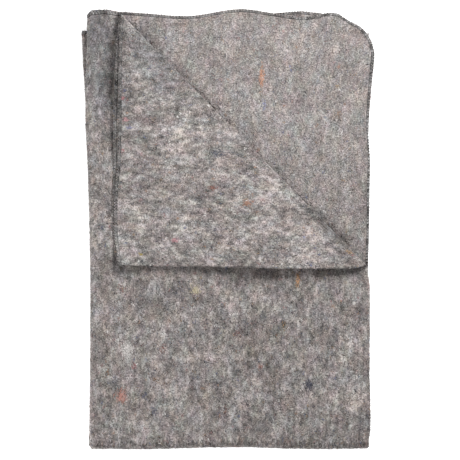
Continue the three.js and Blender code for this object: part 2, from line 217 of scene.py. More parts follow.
# The cloth's way across the pack. A panel runs to the right or to the left at its level, and a fold goes
# round one side from one level to another, with its front hem dipping there. Only the two top panels are
# turned down with the corner. steps is how finely each is divided, and mottle how uneven its greys are.
ACROSS = (
    dict(panel="lowest", level=0, heading=-1, turned=False, steps=14, mottle=1),
    dict(fold="outer_left", start=0, end=3, side=-1, hem="top", dip=0.006, turned=False, steps=14, mottle=1),
    dict(panel="top", level=3, heading=1, turned=True, steps=76, mottle=1.2),
    dict(fold="right", start=3, end=2, side=1, hem="top", dip=0.003, turned=True, steps=10, mottle=1.3),
    dict(panel="second", level=2, heading=-1, turned=True, steps=76, mottle=1.38),
    dict(fold="inner_left", start=2, end=1, side=-1, hem="third", dip=0.003, turned=False, steps=8, mottle=1),
    dict(panel="third", level=1, heading=1, turned=False, steps=70, mottle=0.7),
)
TOP_LEVEL = 3
SECOND_LEVEL = 2
HEMMED_PANELS = ("lowest", "third")
CORNER_STEPS = 12

# The cloth's way along the pack: where the bend round the bottom fold and the front half start, after the
# rear half, and how finely each of them is divided
BOTTOM_BEND = 1
FRONT = 2
REAR_STEPS = 14
BEND_STEPS = 18
FRONT_STEPS = 106
HEM_STEPS = 6
DIAGONAL_STEPS = 9

# The faces that are cut along lines beside the diagonal: those that roll over it, and the third panel's
TURNED = 1
UNDER = 2
CUT_TOLERANCE = 0.0001
THIRD_PANEL = len(ACROSS) - 1

# Radii, heights and lengths that follow from the sizes above
HALF_PITCH = LAYER_PITCH / 2
HALF_THICKNESS = CLOTH_THICKNESS / 2
OUTER_LEFT_REACH = TOP_LEVEL * HALF_PITCH + HALF_THICKNESS
RIGHT_REACH = HALF_PITCH + HALF_THICKNESS
BEND_RADIUS = HALF_PITCH
BEND_REACH = BEND_RADIUS + TOP_LEVEL * LAYER_PITCH + HALF_THICKNESS
BEND_LENGTH = math.pi * BEND_REACH / 2
TURN_AXIS = TOP_LEVEL * LAYER_PITCH + HALF_PITCH
TURN_REACH = FOLD_SHARPNESS * (TURN_AXIS - SECOND_LEVEL * LAYER_PITCH + HALF_THICKNESS)
TURN_LENGTH = math.pi * LAYER_PITCH * math.sqrt((1 + FOLD_SHARPNESS**2) / 2)
PRESS_BASE = SECOND_LEVEL * LAYER_PITCH - HALF_PITCH
FRONT_LENGTH = HEM_LINE - BOTTOM_SIDE - BEND_REACH
REAR_LENGTH = FRONT_LENGTH - REAR_HEM_DROP
CUT_LENGTH = REAR_LENGTH + BEND_LENGTH + FRONT_LENGTH


def stretch_length(stretch):
    """How much cloth one stretch of ACROSS takes."""
    if "panel" in stretch:
        return PANEL_WIDTH
    return math.pi * abs(stretch["end"] - stretch["start"]) * HALF_PITCH


ACROSS_STARTS = np.concatenate([[0.0], np.cumsum([stretch_length(stretch) for stretch in ACROSS])])
CUT_WIDTH = ACROSS_STARTS[-1]
DIAGONAL_LENGTH = np.linalg.norm(DIAGONAL_END - DIAGONAL_TOP)
DIAGONAL_RUN = (DIAGONAL_END - DIAGONAL_TOP) / DIAGONAL_LENGTH
DIAGONAL_NORMAL = np.array([-DIAGONAL_RUN[1], DIAGONAL_RUN[0]])
TURN_START = DIAGONAL_TOP - TURN_REACH * DIAGONAL_NORMAL

# Uneven thickness of the felt: wavelength and depth of its lumps, and how far the wavelengths are spread
LUMPS = records("wavelength depth seed", (0.009, 0.00016, 11), (0.030, 0.00012, 12))
LUMP_SPREAD = (0.7, 1.4)
WAVES_IN_A_LUMP = 24

# The overlock stitching
STITCH_PITCH = 0.005
STITCH_DEPTH = 0.0050
NEEDLE_GROOVE = 0.0007
NEEDLE_GROOVE_WIDTH = 0.0014
THREAD_RADIUS = 0.00060
THREAD_SIDES = 4
THREAD_SEED = 9
THREAD_SHADES = (0.15, 2.6)

# How wide the stitching is and how light its threads, at stations of the cloth's way across: loose where the
# top hem shows beside the turned corner, tighter on the third panel and most of all on its side hem
STITCHING = table(
    "across width looper needle",
    (1.00, 1.00, 1.00, 1.00),
    (1.30, 1.50, 1.85, 0.50),
    (2.10, 1.50, 1.85, 0.50),
    (2.16, 1.00, 1.00, 1.00),
    (5.90, 1.00, 1.00, 1.00),
    (6.00, 0.88, 1.15, 1.15),
    (6.80, 0.88, 1.15, 1.15),
    (6.92, 0.68, 1.40, 1.40),
)

# The steps of one stitch: how far ahead as a share of its pitch, how deep inside the edge, the height above
# the cloth's middle as a share of the way to its face, and how light the thread is there. Looper threads
# zigzag between the needle line and the edge, where they darken. The needle thread dips in and out.
LOOPER_STEPS = records(
    "ahead depth height shade",
    (0.0, STITCH_DEPTH, 1.0, 0.16),
    (0.38, 0.0012, 1.0, 0.065),
    (0.5, 0.0001, 0.2, 0.035),
    (0.62, 0.0012, 1.0, 0.065),
)
NEEDLE_STEPS = records(
    "ahead depth height shade",
    (0.1, STITCH_DEPTH, 1.1, 0.080),
    (0.8, STITCH_DEPTH, 0.6, 0.045),
)

# The short pile. Rays from above and from the four sides, along an axis one way or the other, start at
# RAY_DISTANCE from the origin, and each leaves a fibre where it meets the cloth.
PILE_SEED = 5
PILE_PIECES = 3
PILE_RAYS = records(
    "axis way rays",
    (2, -1, 30000),
    (0, -1, 2500),
    (0, 1, 2500),
    (1, -1, 2500),
    (1, 1, 2500),
)
RAY_DISTANCE = 1.0
FIBRE_LENGTH = (0.003, 0.008)
FIBRE_RADIUS = (0.00014, 0.00030)
FIBRE_RISE = (0.0001, 0.0006)
FIBRE_SINK = 0.0003
FIBRE_BOW = 0.0012
FIBRE_SPREAD = 0.95
LEAST_HEIGHT = 0.002

# One fibre: a tip, two rings of three points and the other tip. way is how far along it each point is, as a
# share of half its length, and out and over are how far to the side and up, as shares of its radius.
FIBRE_RINGS = [(way, *point) for way in (-0.35, 0.35) for point in ((0, 1), (0.87, -0.5), (-0.87, -0.5))]
FIBRE_POINTS = table("way out over", (-1, 0, 0), *FIBRE_RINGS, (1, 0, 0))
FIBRE_FACES = np.array([
    (0, 1, 2), (0, 2, 3), (0, 3, 1),
    (1, 4, 5), (1, 5, 2), (2, 5, 6), (2, 6, 3), (3, 6, 4), (3, 4, 1),
    (7, 5, 4), (7, 6, 5), (7, 4, 6),
])

# Colours of the loose wool, how much of each there is, and how much lighter or darker a fibre may be
WOOL_COLOURS = records(
    "share colour",
    (0.26, (0.070, 0.065, 0.063)),
    (0.27, (0.200, 0.182, 0.174)),
    (0.22, (0.340, 0.313, 0.300)),
    (0.13, (0.600, 0.560, 0.540)),
    (0.04, (0.290, 0.200, 0.130)),
    (0.04, (0.350, 0.205, 0.205)),
    (0.04, (0.135, 0.160, 0.250)),
)
WOOL_SHADES = (0.75, 1.25)

# Tufts of coloured wool in the felt: the middle of each seen from above, its size, fibres and colour
FLECKS = records(
    "x y width length fibres colour",
    (0.058, 0.263, 0.008, 0.038, 190, (0.57, 0.32, 0.22)),
    (0.062, 0.216, 0.007, 0.017, 36, (0.31, 0.32, 0.45)),
    (-0.184, -0.288, 0.018, 0.022, 270, (0.62, 0.36, 0.31)),
    (-0.057, -0.105, 0.015, 0.014, 150, (0.60, 0.54, 0.40)),
    (0.120, -0.088, 0.007, 0.022, 110, (0.64, 0.40, 0.24)),
    (0.034, 0.045, 0.018, 0.014, 100, (0.46, 0.27, 0.20)),
    (0.209, -0.039, 0.012, 0.010, 34, (0.40, 0.28, 0.18)),
    (-0.092, -0.019, 0.012, 0.007, 60, (0.56, 0.31, 0.33)),
    (-0.026, 0.071, 0.015, 0.008, 39, (0.33, 0.15, 0.12)),
    (-0.018, 0.130, 0.024, 0.011, 95, (0.09, 0.10, 0.13)),
    (-0.151, -0.043, 0.006, 0.007, 16, (0.40, 0.32, 0.12)),
    (0.138, -0.269, 0.018, 0.020, 130, (0.08, 0.085, 0.12)),
    (-0.113, -0.204, 0.012, 0.020, 36, (0.31, 0.17, 0.15)),
    (-0.175, -0.209, 0.020, 0.032, 560, (0.70, 0.67, 0.65)),
    (-0.144, -0.287, 0.012, 0.014, 23, (0.18, 0.19, 0.28)),
    (-0.127, -0.314, 0.012, 0.014, 23, (0.18, 0.19, 0.28)),
    (-0.182, 0.225, 0.006, 0.008, 30, (0.54, 0.26, 0.28)),
    (-0.177, 0.189, 0.012, 0.008, 55, (0.55, 0.34, 0.35)),
    (-0.170, 0.175, 0.012, 0.008, 32, (0.35, 0.35, 0.48)),
    (-0.182, 0.135, 0.007, 0.008, 16, (0.39, 0.17, 0.18)),
    (-0.185, -0.102, 0.012, 0.014, 21, (0.36, 0.19, 0.18)),
    (0.016, -0.179, 0.011, 0.014, 23, (0.26, 0.12, 0.11)),
    (0.096, -0.166, 0.007, 0.017, 23, (0.39, 0.24, 0.13)),
    (0.055, -0.237, 0.011, 0.011, 23, (0.39, 0.20, 0.16)),
    (-0.127, -0.259, 0.007, 0.010, 18, (0.37, 0.23, 0.13)),
    (-0.208, -0.247, 0.006, 0.017, 18, (0.37, 0.21, 0.13)),
    (-0.163, -0.237, 0.009, 0.011, 50, (0.50, 0.29, 0.29)),
    (-0.004, -0.313, 0.007, 0.020, 23, (0.21, 0.11, 0.10)),
    (0.191, 0.281, 0.009, 0.014, 21, (0.40, 0.24, 0.19)),
    (0.188, 0.247, 0.007, 0.011, 18, (0.40, 0.28, 0.16)),
    (0.190, 0.199, 0.009, 0.011, 18, (0.40, 0.24, 0.15)),
)
FLECK_SEED = 8
FLECK_DEVIATION = 0.25
FLECK_SPREAD = 0.45
FLECK_SHADES = (0.8, 1.2)

# Small tufts scattered over what shows from above: the corners of the area, and their colours
SMALL_FLECKS = 240
SMALL_FLECK_SIZE = 0.005
SMALL_FLECK_FIBRES = 6
SMALL_FLECK_AREA = ((-0.225, -0.365), (0.225, 0.350))
SMALL_FLECK_COLOURS = (
    (0.21, 0.23, 0.36), (0.44, 0.26, 0.26), (0.40, 0.29, 0.20),
    (0.46, 0.30, 0.22), (0.92, 0.90, 0.88), (0.06, 0.06, 0.08),
)

# Patches where the wool's colour is made darker or lighter: the line that each lies along seen from
# above, how far it fades to both sides, the share that it adds to the wool's lightness, and how much
# bluer and less red it is. The dark patches along the diagonal fold are painted shade that dulls the
# fold's lit edge, and those under the tips of the turned corner are painted shadow; the others make
# places of the cloth darker or lighter.
SHADE_AND_TONE_PATCHES = records(
    "start end width shade cool",
    ((-0.222, 0.378), (-0.222, 0.215), 0.022, -0.25, 0.04),
    ((-0.156, 0.318), (-0.118, 0.258), 0.032, -0.32, 0.03),
    ((-0.170, 0.016), (0.012, 0.024), 0.040, 0.13, 0.0),
    ((-0.229, 0.033), (-0.232, -0.079), 0.022, 0.13, 0.0),
    ((0.029, 0.227), (0.162, 0.163), 0.035, 0.13, 0.01),
    # Painted shade along the diagonal fold, dulling the lit edge of the turned corner
    ((-0.160, 0.342), (0.144, 0.031), 0.004, -0.20, 0.0),
    ((0.144, 0.031), (0.236, -0.063), 0.010, -0.30, 0.0),
    ((0.241, 0.085), (0.241, -0.050), 0.004, -0.55, 0.0),
    ((0.162, -0.109), (0.228, -0.148), 0.028, -0.22, 0.0),
    ((-0.208, -0.154), (-0.170, -0.230), 0.025, 0.14, 0.0),
    ((0.017, -0.235), (0.098, -0.223), 0.035, -0.14, 0.0),
    ((0.036, -0.190), (0.046, -0.208), 0.014, -0.20, -0.05),
    ((0.221, -0.209), (0.214, -0.292), 0.028, 0.19, 0.0),
    ((-0.170, -0.295), (-0.049, -0.295), 0.025, 0.12, 0.0),
    ((-0.236, -0.364), (-0.201, -0.368), 0.022, 0.16, 0.0),
    ((0.155, -0.354), (0.221, -0.368), 0.025, -0.18, 0.0),
    ((0.205, 0.350), (0.238, 0.315), 0.028, -0.15, 0.0),
    # Painted shade over the lit ridge of the diagonal fold near its lower end
    ((0.152, 0.022), (0.196, -0.023), 0.010, -0.22, 0.0),
    # Painted shadow under the left and right tips of the turned corner
    ((-0.203, -0.069), (-0.188, -0.072), 0.008, -0.25, 0.0),
    ((0.194, -0.076), (0.216, -0.078), 0.008, -0.28, 0.0),
    ((-0.130, 0.372), (0.150, 0.372), 0.014, -0.10, 0.0),
    ((-0.236, 0.372), (-0.192, 0.372), 0.012, -0.20, 0.0),
)
COOLER = np.array([-1, 0, 1])

# The felt's greys, from dark to light, and the noises that mix them: specks, and blotches and clumps, which
# are drawn out along the cloth and count as much as a panel is mottled
FELT_GREYS = ((0.26, (0.045, 0.041, 0.040)), (0.5, (0.205, 0.186, 0.179)), (0.76, (0.52, 0.485, 0.465)))
BLOTCH_NOISE = dict(scale=30, detail=2, roughness=0.6)
BLOTCH_WEIGHT = 0.38
CLUMP_NOISE = dict(scale=118, detail=2, roughness=0.65)
CLUMP_WEIGHT = 0.55
COARSE_MIDDLE = 0.465
SPECK_NOISE = dict(scale=420, detail=1, roughness=0.6)
SPECK_WEIGHT = 0.62
SPECK_BASE = 0.19
STREAK = 0.60

# The felt's tints: their noise, how far away from the greys' it lies, and the least and the range of each
TINT_NOISE = dict(scale=45, detail=4, roughness=0.75)
RED_TINT = dict(away=3, least=0.70, span=0.62)
BLUE_TINT = dict(away=7, least=0.78, span=0.44)

# The materials' finishes, as values of the shader's sockets
FELT_FINISH = {"Roughness": 0.95, "Specular IOR Level": 0.1, "Sheen Weight": 0.15, "Sheen Roughness": 0.6}
FELT_BUMP = {"Strength": 0.45, "Distance": 0.002}
FIBRE_FINISH = {"Roughness": 0.85, "Specular IOR Level": 0.15}
THREAD_FINISH = {"Roughness": 0.7, "Specular IOR Level": 0.2}
THREAD_NOISE = dict(scale=300, detail=2, roughness=0.6)
THREAD_FADING = ((0.3, (0.65, 0.65, 0.66)), (0.7, (1.4, 1.38, 1.36)))
WHITE = (1, 1, 1, 1)
FLOOR_FINISH = {
    "Base Color": (0.8, 0.8, 0.8, 1),
    "Emission Color": WHITE,
    "Emission Strength": 0.75,
    "Roughness": 0.9,
    "Specular IOR Level": 0.0,
}

# The camera, lights and floor
CAMERA_HEIGHT = 10.0
CAMERA_X = 0.0030
CAMERA_Y = -0.0015
SENSOR_WIDTH = 36.0
VIEW_WIDTH = 0.7922
FLOOR_SIZE = 8.0
LIGHTS = records(
    "name place size power",
    ("key", (0.85, 1.57, 1.31), 1.09, 82.5),
    ("fill", (-1.7, -1.1, 0.7), 1.6, 37),
)
WORLD_STRENGTH = 0.29


def along(rows, column, share):
    """Value of one column of a table at shares between its rows, on a smooth curve through them."""
    shares = rows["share"]
    values = rows[column]
    last = len(shares) - 1
    end = np.clip(np.searchsorted(shares, share), 1, last)
    start = end - 1
    before = np.maximum(start - 1, 0)
    after = np.minimum(end + 1, last)
    run = shares[end] - shares[start]
    t = (share - shares[start]) / run
    slope_in = (values[end] - values[before]) / (shares[end] - shares[before]) * run
    slope_out = (values[after] - values[start]) / (shares[after] - shares[start]) * run
    rise = values[end] - values[start]
    bend = slope_in + slope_out - 2 * rise
    return values[start] + t * (slope_in + t * (rise - slope_in - bend + t * bend))


def by_half(rear, rear_rows, front_rows, column, share):
    """A column of the rear half's table or of the front half's."""
    return np.where(rear, along(rear_rows, column, share), along(front_rows, column, share))


def smoothstep(value, start, end):
    t = np.clip((value - start) / (end - start), 0, 1)
    return t * t * (3 - 2 * t)


def corner_drop(u):
    """How far the rounded corners cut the cloth's ends back at u."""
    inward = np.maximum(CORNER_RADIUS - np.minimum(u, CUT_WIDTH - u), 0)
    return CORNER_RADIUS - np.sqrt(np.maximum(CORNER_RADIUS**2 - inward**2, 0))


def hem_distance(u, v):
    """Distance from the edge of the cut cloth, whose corners are round."""
    side = np.minimum(u, CUT_WIDTH - u)
    end = np.minimum(v, CUT_LENGTH - v)
    in_corner = (side < CORNER_RADIUS) & (end < CORNER_RADIUS)
    from_corner = CORNER_RADIUS - np.hypot(CORNER_RADIUS - side, CORNER_RADIUS - end)
    return np.where(in_corner, from_corner, np.minimum(side, end))


def stations(u, v):
    """Where a place of the cut cloth lies along the stretches across and along the pack."""
    starts = np.concatenate([[-PANEL_WIDTH], ACROSS_STARTS, [CUT_WIDTH + PANEL_WIDTH]])
    across = np.interp(u, starts, np.arange(-1, len(ACROSS) + 2))
    drop = corner_drop(u)
    rear = BOTTOM_BEND - (REAR_LENGTH - v) / (REAR_LENGTH - drop)
    bend = BOTTOM_BEND + (v - REAR_LENGTH) / BEND_LENGTH
    front = FRONT + (v - REAR_LENGTH - BEND_LENGTH) / (FRONT_LENGTH - drop)
    return across, np.where(v < REAR_LENGTH, rear, np.where(v < REAR_LENGTH + BEND_LENGTH, bend, front))


def cut_place(across, length):
    """The place of the cut cloth at two stations, as (u, v)."""
    u = np.interp(across, np.arange(len(ACROSS) + 1), ACROSS_STARTS)
    drop = corner_drop(u)
    rear = REAR_LENGTH - (BOTTOM_BEND - length) * (REAR_LENGTH - drop)
    bend = REAR_LENGTH + (length - BOTTOM_BEND) * BEND_LENGTH
    front = REAR_LENGTH + BEND_LENGTH + (length - FRONT) * (FRONT_LENGTH - drop)
    return u, np.where(length < BOTTOM_BEND, rear, np.where(length < FRONT, bend, front))


def panel_sides(rear, length_share):
    """Where the straight part of each panel starts and ends, and where the axis of each fold is."""
    side = {name: by_half(rear, REAR_SIDES, FRONT_SIDES, name, length_share) for name in FRONT_SIDES}
    outer_left = LEFT_SIDE + side["left_fold"] + OUTER_LEFT_REACH
    inner_left = outer_left + NESTED_FOLD_INSET
    right = RIGHT_SIDE + side["right_fold"] - RIGHT_REACH
    return {
        "lowest": (outer_left, RIGHT_SIDE + side["lowest_hem"]),
        "top": (outer_left, right),
        "second": (inner_left, right),
        "third": (inner_left, RIGHT_SIDE + side["third_hem"]),
        "outer_left": outer_left,
        "inner_left": inner_left,
        "right": right,
    }


def stretch_points(stretch, across_share, length, lift):
    """Places in one stretch of the pack, before its corner is turned down."""
    rear = length < BOTTOM_BEND
    length_share = np.where(rear, BOTTOM_BEND - length, np.maximum(length - FRONT, 0))
    sides = panel_sides(rear, length_share)
    if "panel" in stretch:
        share = across_share if stretch["heading"] > 0 else 1 - across_share
        start, end = sides[stretch["panel"]]
        x = start + (end - start) * share
        z = stretch["level"] * LAYER_PITCH + stretch["heading"] * lift
        hem_name = stretch["panel"]
        from_side_hem = (1 - share) * PANEL_WIDTH
        drop = corner_drop(from_side_hem) if hem_name in HEMMED_PANELS else 0
    else:
        share = np.full_like(across_share, float(stretch["side"] > 0))
        angle = across_share * np.pi
        climb = np.sign(stretch["end"] - stretch["start"])
        levels = abs(stretch["end"] - stretch["start"])
        radius = levels * HALF_PITCH - stretch["side"] * climb * lift
        x = sides[stretch["fold"]] + stretch["side"] * radius * np.sin(angle)
        z = (stretch["start"] + stretch["end"]) * HALF_PITCH - climb * radius * np.cos(angle)
        hem_name = stretch["hem"]
        drop = np.where(rear, 0, stretch["dip"]) * np.sin(angle)
    hem = HEM_LINE + by_half(rear, REAR_HEMS, FRONT_HEMS, hem_name, share) - drop
    bottom = BOTTOM_SIDE + BEND_REACH + along(BOTTOM_FOLD, "rise", share)
    y = bottom + (hem - bottom) * length_share
    return np.column_stack([x, y, z])


def stretch_number(across):
    return np.clip(np.floor(across), 0, len(ACROSS) - 1).astype(int)


def stack_points(across, length, lift):
    """Places before the corner is turned down: x and y seen from above, and the height in the stack."""
    number = stretch_number(across)
    points = np.empty((len(across), 3))
    for start, stretch in enumerate(ACROSS):
        inside = number == start
        points[inside] = stretch_points(stretch, across[inside] - start, length[inside], lift[inside])
    return points


def is_turned(across, length):
    """Whether places belong to the part of the two top panels that can be turned down."""
    turned = np.array([stretch["turned"] for stretch in ACROSS])
    return turned[stretch_number(across)] & (length >= BOTTOM_BEND)


def segment_distance(x, y, start, end):
    """Distance from a line between two points, seen from above."""
    run_x = end[0] - start[0]
    run_y = end[1] - start[1]
    share = ((x - start[0]) * run_x + (y - start[1]) * run_y) / (run_x**2 + run_y**2)
    share = np.clip(share, 0, 1)
    return np.hypot(x - start[0] - share * run_x, y - start[1] - share * run_y)


def line_sum(rows, column, x, y):
    """What rows of lines add up to in one column, each fading to both sides of its line."""
    spreads = [segment_distance(x, y, row["start"], row["end"]) / row["width"] for row in rows]
    return sum(row[column] * np.exp(-(spread**2)) for row, spread in zip(rows, spreads))


def turn_down(points, turned):
    """Rolls the places beyond the diagonal fold over it."""
    distance = (points[:, :2] - TURN_START) @ DIAGONAL_NORMAL
    rolled = turned & (distance > 0)
    radius = TURN_AXIS - points[:, 2]
    angle = np.minimum(distance / TURN_LENGTH, 1) * np.pi
    past = np.maximum(distance - TURN_LENGTH, 0)
    shift = FOLD_SHARPNESS * radius * np.sin(angle) - past - distance
    moved = points.copy()
    moved[:, :2] += shift[:, None] * DIAGONAL_NORMAL
    turn = (1 - np.cos(angle)) / 2
    lift = line_sum(FLAP_LIFTS, "lift", *moved[:, :2].T) * turn
    kept = 1 - line_sum(FLAP_LIFTS, "loss", *moved[:, :2].T) * turn
    moved[:, 2] = TURN_AXIS - radius * np.cos(angle) * kept + lift
    return np.where(rolled[:, None], moved, points)


def pressed(x, y, height):
    """Heights in the stack, less what the layers above the third panel lose beside the diagonal fold."""
    from_top = np.column_stack([x, y]) - DIAGONAL_TOP
    share = np.clip(from_top @ DIAGONAL_RUN / DIAGONAL_LENGTH, 0, 1)
    nearness = 1 - smoothstep(-(from_top @ DIAGONAL_NORMAL), 0, PRESS_REACH)
    above = np.maximum(height - PRESS_BASE, 0)
    return height - above * along(PRESSED, "loss", share) * nearness


def swell_at(x, y):
    """How much the pack swells at places seen from above."""
    swell = 1 - HEM_SAG * smoothstep(y, SAG_START, SAG_END)
    for row in SWELLS:
        squares = (x - row["x"]) ** 2 + (y - row["y"]) ** 2
        swell = swell + row["share"] * np.exp(-squares / row["reach"] ** 2)
    return swell


def place(across, length, lift):
    """The finished places of the cloth at its stations."""
    points = turn_down(stack_points(across, length, lift), is_turned(across, length))
    x, y, height = points.T
    rear = length < BOTTOM_BEND
    crease = np.where(rear | (height < PRESS_BASE), line_sum(CREASES, "share", x, y), 0)
    height = np.where(rear, height, pressed(x, y, height))
    radius = BEND_RADIUS + height
    angle = (np.clip(length - BOTTOM_BEND, 0, 1) - 0.5) * np.pi
    y = y - radius * np.cos(angle)
    z = (BEND_REACH + radius * np.sin(angle)) * (swell_at(x, y) + crease)
    return np.column_stack([x, y, z])


def lumps(u, v, side):
    """How far the felt's face stands out or lies in."""
    total = np.zeros_like(u)
    for row in LUMPS:
        rng = np.random.default_rng(row["seed"])
        for _ in range(WAVES_IN_A_LUMP):
            angle, phase, other_phase = rng.uniform(0, 2 * np.pi, 3)
            pace = 2 * np.pi / (row["wavelength"] * rng.uniform(*LUMP_SPREAD))
            turn = pace * (u * np.cos(angle) + v * np.sin(angle)) + np.where(side > 0, phase, other_phase)
            total += row["depth"] * math.sqrt(2 / WAVES_IN_A_LUMP) * np.cos(turn)
    return total


def face_lift(u, v, side, height=0.0):
    """lift of a place at a height above the cloth's face, on the side +1 or -1."""
    distance = hem_distance(u, v)
    inside = np.clip(distance / HEM_WIDTH, 0, 1)
    thickness = HEM_THICKNESS + (CLOTH_THICKNESS - HEM_THICKNESS) * inside
    groove = NEEDLE_GROOVE * np.exp(-(((distance - STITCH_DEPTH) / NEEDLE_GROOVE_WIDTH) ** 2))
    return side * (thickness / 2 - groove + inside * lumps(u, v, side) + height)


def on_face(u, v, side, height):
    """Places at a height above one face of the cloth."""
    return place(*stations(u, v), face_lift(u, v, side, height))


def evenly(steps):
    return np.linspace(0, 1, steps + 1)


def across_stations():
    """Stations across the sheet, at even angles round its rounded corners."""
    corner_share = CORNER_RADIUS / PANEL_WIDTH
    corner = 1 - corner_share * (1 - np.sin(evenly(CORNER_STEPS) * np.pi / 2))
    found = [np.zeros(1)]
    for start, stretch in enumerate(ACROSS):
        shares = evenly(stretch["steps"])
        if stretch.get("panel") in HEMMED_PANELS:
            shares = np.concatenate([shares[:-1] * (1 - corner_share), corner])
            shares = shares if stretch["heading"] > 0 else 1 - shares[::-1]
        found.append(start + shares[1:])
    return np.concatenate(found)


def length_stations():
    """Stations along the sheet, close together in its hems."""
    hem_share = HEM_WIDTH / FRONT_LENGTH

    def half(steps):
        inside = evenly(steps)[:-1] * (1 - hem_share)
        return np.concatenate([inside, 1 - hem_share * evenly(HEM_STEPS)[::-1]])

    rear = (BOTTOM_BEND - half(REAR_STEPS))[::-1]
    bend = BOTTOM_BEND + evenly(BEND_STEPS)[1:]
    front = FRONT + half(FRONT_STEPS)[1:]
    return np.concatenate([rear, bend, front])


def quads(*corners):
    """Faces with four corners, from the numbers of the points at each corner."""
    return np.stack([corner.ravel() for corner in corners], 1)


def flat_sheet():
    """The closed sheet before it is folded: the stations and side of each point, and its faces."""
    across, length = np.meshgrid(across_stations(), length_stations(), indexing="ij")
    count = across.size
    number = np.arange(count).reshape(across.shape)
    front = quads(number[:-1, :-1], number[1:, :-1], number[1:, 1:], number[:-1, 1:])
    back = front[:, ::-1] + count
    rim = np.concatenate([number[:-1, 0], number[-1, :-1], number[:0:-1, -1], number[0, :0:-1]])
    next_rim = np.roll(rim, -1)
    edge = quads(next_rim, rim, rim + count, next_rim + count)
    faces = np.concatenate([front, back, edge])
    side = np.repeat([1.0, -1.0], count)
    return np.tile(across.ravel(), 2), np.tile(length.ravel(), 2), side, faces


def cut_beside_diagonal(mesh):
    """Cuts the faces that roll over the diagonal or have creases there along lines beside it."""
    work = bmesh.new()
    work.from_mesh(mesh)
    cuts = [(TURNED, TURN_START, distance) for distance in evenly(DIAGONAL_STEPS) * TURN_LENGTH]
    cuts += [(UNDER, DIAGONAL_TOP, distance) for distance in evenly(CREASE_STEPS) * CREASE_REACH]
    for kind, line_start, distance in cuts:
        start = line_start + distance * DIAGONAL_NORMAL
        faces = [face for face in work.faces if face.material_index == kind]
        edges = dict.fromkeys(edge for face in faces for edge in face.edges)
        points = dict.fromkeys(point for face in faces for point in face.verts)
        bmesh.ops.bisect_plane(
            work,
            geom=[*faces, *edges, *points],
            dist=CUT_TOLERANCE,
            plane_co=(*start, 0),
            plane_no=(*DIAGONAL_NORMAL, 0),
        )
    bmesh.ops.triangulate(work, faces=work.faces)
    work.to_mesh(mesh)
    work.free()


def split_sheet():
    """The flat sheet as triangles, cut beside the diagonal: the columns of its points, and its triangles."""
    across, length, side, faces = flat_sheet()
    points = stack_points(across, length, side * HALF_THICKNESS)
    mesh = bpy.data.meshes.new("sheet")
    mesh.from_pydata(points.tolist(), [], faces.tolist())
    columns = {"across": across, "length": length, "side": side}
    for name, values in columns.items():
        mesh.attributes.new(name, "FLOAT", "POINT").data.foreach_set("value", values)
    face_across = across[faces].mean(1)
    face_length = length[faces].mean(1)
    under = (stretch_number(face_across) == THIRD_PANEL) & (face_length >= BOTTOM_BEND)
    kind = np.where(is_turned(face_across, face_length), TURNED, np.where(under, UNDER, 0))
    mesh.polygons.foreach_set("material_index", kind.astype(np.int32))
    cut_beside_diagonal(mesh)
    values = {name: np.empty(len(mesh.vertices), np.float32) for name in columns}
    for name, found in values.items():
        mesh.attributes[name].data.foreach_get("value", found)
    triangles = np.empty(3 * len(mesh.polygons), np.int32)
    mesh.polygons.foreach_get("vertices", triangles)
    bpy.data.meshes.remove(mesh)
    exact = {name: found.astype(float) for name, found in values.items()}
    return exact, triangles.reshape(-1, 3)


def in_scene(name, data):
    """A new object of the scene, with its mesh, light or camera."""
    added = bpy.data.objects.new(name, data)
    bpy.context.scene.collection.objects.link(added)
    return added


def mesh_piece(name, points, faces, material):
    """A smooth mesh that belongs to the blanket."""
    mesh = bpy.data.meshes.new(name)
    mesh.from_pydata(points.tolist(), [], faces.tolist())
    mesh.shade_smooth()
    mesh.materials.append(material)
    piece = in_scene(name, mesh)
    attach(piece, "root")
    return piece


def on_floor(points):
    """The points, with none below the floor."""
    return np.maximum(points, (-np.inf, -np.inf, 0))


def add_colours(piece, name, colours):
    """Gives each point of a piece a colour that its material can read."""
    rgba = np.column_stack([colours, np.ones(len(colours))])
    piece.data.attributes.new(name, "FLOAT_COLOR", "POINT").data.foreach_set("color", rgba.ravel())


def mottle_at(across):
    """How uneven the greys are across the cloth, blending from one stretch's middle to the next."""
    return np.interp(across, np.arange(len(ACROSS)) + 0.5, [stretch["mottle"] for stretch in ACROSS])


def shade_and_tone_colours(points):
    """What the wool's colour is multiplied by at places seen from above, painted shade included."""
    x, y, _ = points.T
    shade = line_sum(SHADE_AND_TONE_PATCHES, "shade", x, y)
    cool = line_sum(SHADE_AND_TONE_PATCHES, "cool", x, y)
    return 1 + shade[:, None] + cool[:, None] * COOLER


class Cloth:
    """The folded sheet: its points in the frame, where they lie on the cut cloth, and its triangles."""

    def __init__(self):
        columns, self.triangles = split_sheet()
        self.u, self.v = cut_place(columns["across"], columns["length"])
        self.side = columns["side"]
        self.mottle = mottle_at(columns["across"])
        lift = face_lift(self.u, self.v, self.side)
        points = place(columns["across"], columns["length"], lift)
        low, high = (np.array(corner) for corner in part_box("blanket"))
        middle = (points.min(0) + points.max(0)) / 2
        self.shift = (low + high) / 2 - middle
        self.shift[2] = 0
        self.points = on_floor(points + self.shift)
        self.tree = BVHTree.FromPolygons(self.points.tolist(), self.triangles.tolist())

    def seen_from(self, origins, direction):
        """Where rays meet the cloth: u, v and side of the face that they meet."""
        hits = [self.tree.ray_cast(Vector(origin), Vector(direction)) for origin in origins]
        hits = [hit for hit in hits if hit[0] is not None and hit[0].z > LEAST_HEIGHT]
        spots = np.array([hit[0] for hit in hits])
        corners = self.triangles[[hit[2] for hit in hits]]
        to_corners = self.points[corners] - spots[:, None]
        areas = np.linalg.norm(np.cross(np.roll(to_corners, -1, 1), np.roll(to_corners, 1, 1)), axis=2)
        shares = areas / areas.sum(1)[:, None]
        u = (self.u[corners] * shares).sum(1)
        v = (self.v[corners] * shares).sum(1)
        return u, v, np.where(self.side[corners].sum(1) > 0, 1.0, -1.0)


